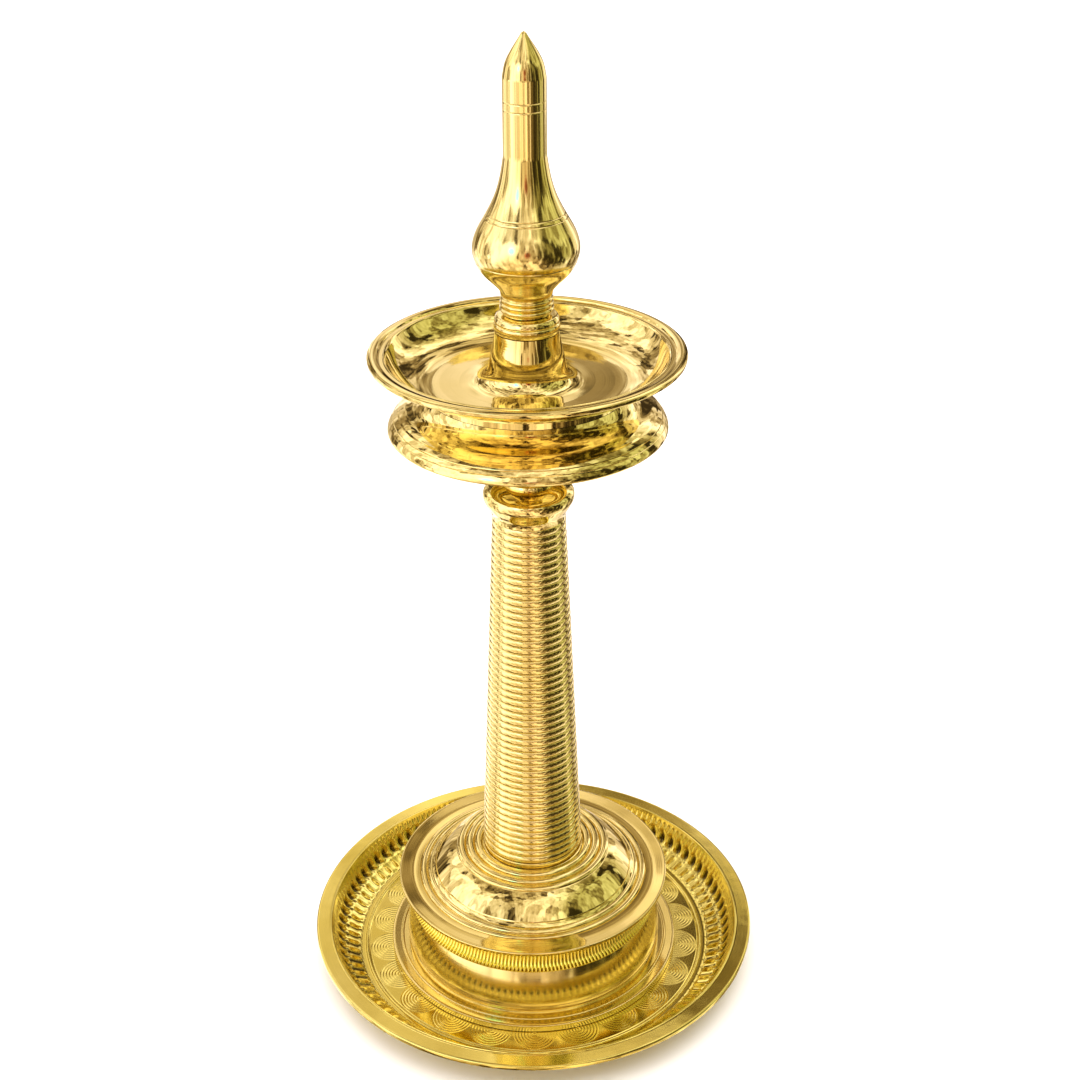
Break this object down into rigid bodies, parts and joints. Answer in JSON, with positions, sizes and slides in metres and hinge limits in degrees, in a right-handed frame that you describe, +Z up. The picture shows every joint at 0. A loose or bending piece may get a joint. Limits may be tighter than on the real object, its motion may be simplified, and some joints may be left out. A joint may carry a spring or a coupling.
{
  "type": "standing brass oil lamp with tray",
  "caption": "Tall standing oil lamp with a shallow round bowl on a ribbed tapering column, domed base, pointed finial and fluted round tray.",
  "frame": {"origin": "middle of the tray's flat underside, on the surface the lamp stands on", "axes": "+Z up along the lamp's turning axis; +X and +Y are free, because the lamp looks the same all round"},
  "size_m": [0.2998, 0.2998, 0.6207],
  "materials": {
    "cast_brass": "turned and buffed to a mirror polish, fine lathe lines",
    "tray_brass": "polished sheet brass, yellower than the lamp, with pressed flutes and engine-turned rings",
    "machined_brass": "plain machined, satin, unpolished threads"
  },
  "bodies": {
    "tray": {"tray": "tray_brass"},
    "base": {"base_foot": "cast_brass", "reeded_band": "cast_brass", "base_dome": "cast_brass", "base_washer": "machined_brass", "base_nut": "machined_brass", "base_stud": "machined_brass"},
    "column_seat": {"column_ring": "cast_brass"},
    "column": {"column": "cast_brass", "knop": "cast_brass", "knop_stud": "machined_brass"},
    "bowl_seat": {"bowl_ring": "cast_brass"},
    "bowl": {"skirt": "cast_brass", "oil_dish": "cast_brass"},
    "finial_seat": {"finial_collar": "cast_brass"},
    "finial": {"finial": "cast_brass", "finial_stud": "machined_brass"}
  },
  "joints": [
    {"name": "lamp_lift", "type": "slide", "parent": "tray", "child": "base", "axis": [0, 0, 1], "range_m": [0, 0.04]},
    {"name": "column_rise", "type": "slide", "parent": "base", "child": "column_seat", "axis": [0, 0, 1], "range_m": [0, 0.0101]},
    {"name": "column_turn", "type": "hinge", "parent": "column_seat", "child": "column", "pos_m": [0, 0, 0.0874], "axis": [0, 0, 1], "range_deg": [0, 1440]},
    {"name": "bowl_rise", "type": "slide", "parent": "column", "child": "bowl_seat", "axis": [0, 0, 1], "range_m": [0, 0.0126]},
    {"name": "bowl_turn", "type": "hinge", "parent": "bowl_seat", "child": "bowl", "pos_m": [0, 0, 0.4018], "axis": [0, 0, 1], "range_deg": [0, 1800]},
    {"name": "finial_rise", "type": "slide", "parent": "bowl", "child": "finial_seat", "axis": [0, 0, 1], "range_m": [0, 0.0151]},
    {"name": "finial_turn", "type": "hinge", "parent": "finial_seat", "child": "finial", "pos_m": [0, 0, 0.4615], "axis": [0, 0, 1], "range_deg": [0, 2160]}
  ],
  "couplings": [
    {"joint": "column_rise", "follows": "column_turn", "m_per_rad": 0.00039789},
    {"joint": "bowl_rise", "follows": "bowl_turn", "m_per_rad": 0.00039789},
    {"joint": "finial_rise", "follows": "finial_turn", "m_per_rad": 0.00039789}
  ]
}
